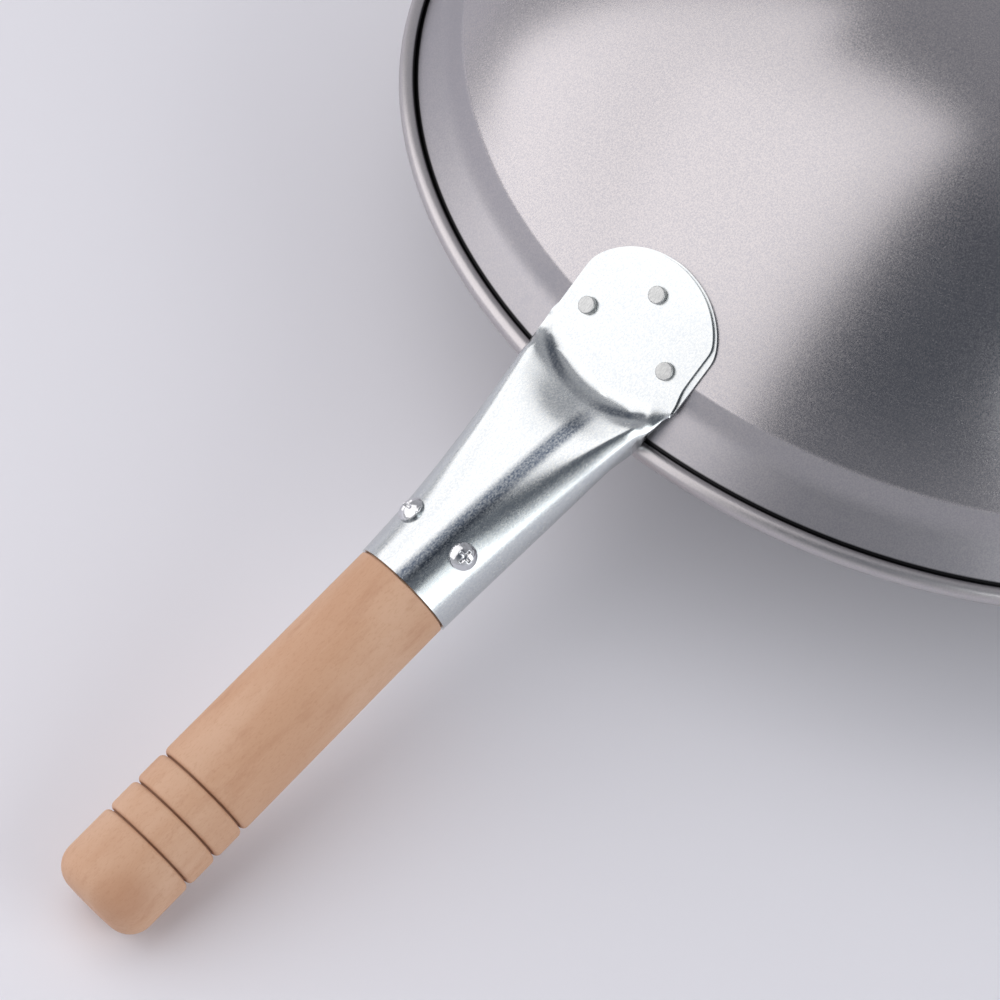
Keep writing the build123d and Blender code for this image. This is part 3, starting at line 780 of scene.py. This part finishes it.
            points.append([self.in_space(section, width * share, 1) for share in shares])
        return points


def shaped_sheet(name, rows):
    """A grid whose points are moved, one by one, to their places."""
    bpy.ops.object.select_all(action="DESELECT")
    count, length = len(rows[0]), len(rows)
    bpy.ops.mesh.primitive_grid_add(x_subdivisions=count - 1, y_subdivisions=length - 1, size=0.1)
    piece = bpy.context.object
    piece.name = name
    bpy.ops.object.mode_set(mode="EDIT")
    bpy.ops.mesh.select_all(action="DESELECT")
    grid = bmesh.from_edit_mesh(piece.data)
    grid.verts.ensure_lookup_table()
    ordered = sorted(grid.verts, key=lambda corner: (round(corner.co.y, 6), round(corner.co.x, 6)))
    places = [place for row in rows for place in row]
    if len(ordered) != len(places):
        raise RuntimeError(name + " has the wrong number of points")
    for corner, place in zip(ordered, places):
        corner.select_set(True)
        bpy.ops.transform.translate(value=Vector(place) - corner.co)
        corner.select_set(False)
    bpy.ops.object.mode_set(mode="OBJECT")
    return piece


def turned_piece(name, rings, points, centre, turn, sharp):
    """A closed body of rings round one axis, moved to its place."""
    bpy.ops.object.select_all(action="DESELECT")
    radius, height = rings[0]
    bpy.ops.mesh.primitive_circle_add(vertices=points, radius=radius, location=(0, 0, height))
    piece = bpy.context.object
    piece.name = name
    bpy.ops.object.mode_set(mode="EDIT")
    bpy.ops.mesh.select_all(action="SELECT")
    for (radius, height), (next_radius, next_height) in zip(rings, rings[1:]):
        bpy.ops.mesh.extrude_region_move(TRANSFORM_OT_translate={"value": (0, 0, next_height - height)})
        ratio = next_radius / radius
        bpy.ops.transform.resize(value=(ratio, ratio, 1), center_override=(0, 0, next_height))
    bpy.ops.mesh.merge(type="CENTER")
    bpy.ops.mesh.select_all(action="DESELECT")
    bpy.ops.mesh.select_mode(type="VERT")
    bpy.ops.mesh.select_non_manifold()
    bpy.ops.mesh.merge(type="CENTER")
    bpy.ops.mesh.select_all(action="SELECT")
    bpy.ops.mesh.normals_make_consistent(inside=False)
    bpy.ops.object.mode_set(mode="OBJECT")
    bpy.ops.object.transform_apply(location=True, rotation=True, scale=True)
    piece.rotation_euler = turn
    piece.location = centre
    bpy.ops.object.transform_apply(location=True, rotation=True, scale=True)
    bpy.ops.object.shade_smooth_by_angle(angle=sharp)
    return piece


def merged_copy(node, name, sharp):
    """A copy of a node of the engineering model with its corners joined and its skin smoothed."""
    bpy.ops.object.select_all(action="DESELECT")
    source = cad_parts[node]
    source.select_set(True)
    bpy.context.view_layer.objects.active = source
    bpy.ops.object.duplicate()
    piece = bpy.context.object
    piece.name = name
    bpy.ops.object.mode_set(mode="EDIT")
    bpy.ops.mesh.select_all(action="SELECT")
    bpy.ops.mesh.remove_doubles(threshold=0.000002)
    bpy.ops.object.mode_set(mode="OBJECT")
    bpy.ops.object.shade_smooth_by_angle(angle=sharp)
    return piece


def open_edges(piece):
    """Counts the edges that have fewer than two faces."""
    shape = bmesh.new()
    shape.from_mesh(piece.data)
    count = sum(len(edge.link_faces) < 2 for edge in shape.edges)
    shape.free()
    return count


def finished(piece, node, material):
    """Gives a closed piece its finish and puts it in place of its node."""
    if open_edges(piece):
        raise RuntimeError(piece.name + " has open edges")
    piece.data.materials.clear()
    piece.data.materials.append(material)
    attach(piece, "root")
    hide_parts(node)


class WOK_OT_bowl(bpy.types.Operator):
    """Spins the bowl from its dome to its curled rim"""
    bl_idname = "wok.bowl"
    bl_label = "Build Bowl"

    def execute(self, context):
        settings = context.scene.wok
        sizes = settings.bowl
        piece = turned_piece("bowl_spun", bowl_rings(sizes), sizes.ring_points,
                             settings.pose.rim_centre, (0, -settings.pose.tilt, 0), radians(50))
        finished(piece, "bowl", spun_steel(settings))
        return {"FINISHED"}


class WOK_OT_socket(bpy.types.Operator):
    """Shapes the tube that is pressed flat into a paddle, and plates it"""
    bl_idname = "wok.socket"
    bl_label = "Shape Socket"

    def execute(self, context):
        settings = context.scene.wok
        sizes = settings.socket
        shape = SocketShape(settings.bowl, sizes)
        lower = shaped_sheet("socket_lower", shape.rows(False))
        piece = shaped_sheet("socket_plated", shape.rows(True))
        lower.select_set(True)
        bpy.ops.object.join()
        bpy.ops.object.mode_set(mode="EDIT")
        bpy.ops.mesh.select_all(action="SELECT")
        bpy.ops.mesh.remove_doubles(threshold=0.00002)
        bpy.ops.mesh.normals_make_consistent(inside=False)
        bpy.ops.object.mode_set(mode="OBJECT")
        piece.rotation_euler = (0, -settings.pose.tilt, 0)
        piece.location = settings.pose.rim_centre
        bpy.ops.object.transform_apply(location=True, rotation=True, scale=True)
        cage = piece.modifiers.new("cage", "SUBSURF")
        cage.levels = cage.render_levels = sizes.levels
        sheet = piece.modifiers.new("sheet", "SOLIDIFY")
        sheet.thickness = sizes.sheet
        sheet.offset = -1
        bpy.ops.object.modifier_apply(modifier="cage")
        bpy.ops.object.mode_set(mode="EDIT")
        bpy.ops.mesh.select_mode(type="VERT")
        bpy.ops.mesh.select_all(action="DESELECT")
        bpy.ops.mesh.select_non_manifold()
        bpy.ops.mesh.select_all(action="INVERT")
        bpy.ops.mesh.vertices_smooth(factor=0.5, repeat=sizes.rounds)
        bpy.ops.object.mode_set(mode="OBJECT")
        bpy.ops.object.modifier_apply(modifier="sheet")
        bpy.ops.object.shade_smooth_by_angle(angle=radians(50))
        finished(piece, "socket", bright_zinc(settings))
        return {"FINISHED"}


class WOK_OT_rivets(bpy.types.Operator):
    """Dresses the three hammered rivets"""
    bl_idname = "wok.rivets"
    bl_label = "Dress Rivets"

    def execute(self, context):
        material = rivet_steel(context.scene.wok)
        for side in ("left", "right", "top"):
            piece = merged_copy("rivet_" + side, "rivet_hammered_" + side, radians(40))
            finished(piece, "rivet_" + side, material)
        return {"FINISHED"}


class WOK_OT_grip(bpy.types.Operator):
    """Turns the wooden grip with its grooves and tenon"""
    bl_idname = "wok.grip"
    bl_label = "Turn Grip"

    def execute(self, context):
        settings = context.scene.wok
        sizes = settings.grip
        turn = (0, pi / 2 + settings.pose.handle_fall, 0)
        piece = turned_piece("grip_turned", grip_rings(sizes), sizes.ring_points,
                             settings.pose.collar_centre, turn, radians(45))
        finished(piece, "grip", turned_wood(settings))
        return {"FINISHED"}


class WOK_OT_screws(bpy.types.Operator):
    """Dresses the two wood screws"""
    bl_idname = "wok.screws"
    bl_label = "Dress Screws"

    def execute(self, context):
        material = bright_screw(context.scene.wok)
        for side in ("left", "right"):
            piece = merged_copy("screw_" + side, "screw_plated_" + side, radians(35))
            finished(piece, "screw_" + side, material)
        return {"FINISHED"}


def softbox(name, place, turn, size, colour, glow):
    """A large rectangular lamp with an even glow on its face, hidden from the camera."""
    lamp = bpy.data.lights.new(name, "AREA")
    lamp.shape = "RECTANGLE"
    lamp.size, lamp.size_y = size
    lamp.energy = glow * pi * size[0] * size[1]
    lamp.color = colour
    holder = bpy.data.objects.new(name, lamp)
    bpy.context.collection.objects.link(holder)
    holder.location = place
    holder.rotation_euler = turn
    holder.visible_camera = False


class WOK_OT_studio(bpy.types.Operator):
    """Sets up the table, the lamps and the camera"""
    bl_idname = "wok.studio"
    bl_label = "Set Up Studio"

    def execute(self, context):
        settings = context.scene.wok
        studio = settings.studio
        bpy.ops.object.select_all(action="DESELECT")
        bpy.ops.mesh.primitive_plane_add(size=studio.table_width, location=(0, 0, 0))
        table = context.object
        table.name = "table"
        table.data.materials.append(pale_table(settings))

        level = (0.0, 0.0, studio.key_turn)
        wing_length = studio.key_length - studio.wing_setback
        beside = Vector((-(studio.key_width + studio.wing_width) / 2, -studio.wing_setback / 2, 0))
        wing_place = studio.key_place + Matrix.Rotation(studio.key_turn, 3, "Z") @ beside
        softbox("key_softbox", studio.key_place, level, (studio.key_width, studio.key_length),
                studio.key_colour, studio.key_glow)
        softbox("key_wing", wing_place, level, (studio.wing_width, wing_length),
                studio.key_colour, studio.key_glow)
        softbox("key_heart", studio.heart_place, level, studio.heart_size,
                studio.key_colour, studio.key_glow * studio.heart_share)
        softbox("side_softbox", studio.side_place, studio.side_turn, studio.side_size,
                studio.side_colour, studio.side_glow)

        world = bpy.data.worlds.new("studio_room")
        context.scene.world = world
        world.use_nodes = True
        room = Nodes(world.node_tree)
        direction = room.node("ShaderNodeTexCoord", {}, {}, "Generated")
        high = room.between(room.axis(direction, "Z"), 0.05, 0.85)
        behind = room.between(0.0 - room.axis(direction, "X"), 0.0, 0.5)
        shade = room.mix(high, opaque(studio.horizon), opaque(studio.zenith))
        shade = room.mix(behind * 0.8, shade, opaque(studio.back_wall))
        seen = room.node("ShaderNodeLightPath", {}, {}, "Is Camera Ray")
        colour = room.mix(seen, shade, opaque(settings.colours.floor))
        room.finish("ShaderNodeOutputWorld", room.node("ShaderNodeBackground", {}, {"Color": colour}))

        lens = bpy.data.cameras.new("camera")
        lens.lens = studio.camera_lens
        lens.sensor_width = 36.0
        lens.clip_end = 50.0
        camera = bpy.data.objects.new("camera", lens)
        context.collection.objects.link(camera)
        camera.location = studio.camera_place
        camera.rotation_euler = studio.camera_turn
        context.scene.camera = camera
        context.scene.view_settings.view_transform = "Standard"
        return {"FINISHED"}


class WOK_PT_panel(bpy.types.Panel):
    """Lists the wok's operators and settings"""
    bl_idname = "WOK_PT_panel"
    bl_label = "Carbon Steel Wok"
    bl_space_type = "VIEW_3D"
    bl_region_type = "UI"
    bl_category = "Wok"

    def draw(self, context):
        settings = context.scene.wok
        for operator in operators:
            self.layout.operator(operator.bl_idname)
        for part in settings.__annotations__:
            group = getattr(settings, part)
            box = self.layout.box()
            for name in group.__annotations__:
                box.prop(group, name)


operators = (WOK_OT_bowl, WOK_OT_socket, WOK_OT_rivets, WOK_OT_grip, WOK_OT_screws, WOK_OT_studio)
groups = (WokPose, WokBowlSizes, WokSocketSizes, WokGripSizes, WokColours, WokStudio, WokSettings)


def register():
    for kind in groups + operators + (WOK_PT_panel,):
        bpy.utils.register_class(kind)
    bpy.types.Scene.wok = bpy.props.PointerProperty(type=WokSettings)


def unregister():
    del bpy.types.Scene.wok
    for kind in reversed(groups + operators + (WOK_PT_panel,)):
        bpy.utils.unregister_class(kind)


def main():
    register()
    bpy.ops.wok.bowl()
    bpy.ops.wok.socket()
    bpy.ops.wok.rivets()
    bpy.ops.wok.grip()
    bpy.ops.wok.screws()
    bpy.ops.wok.studio()


if __name__ == "__main__":
    main()
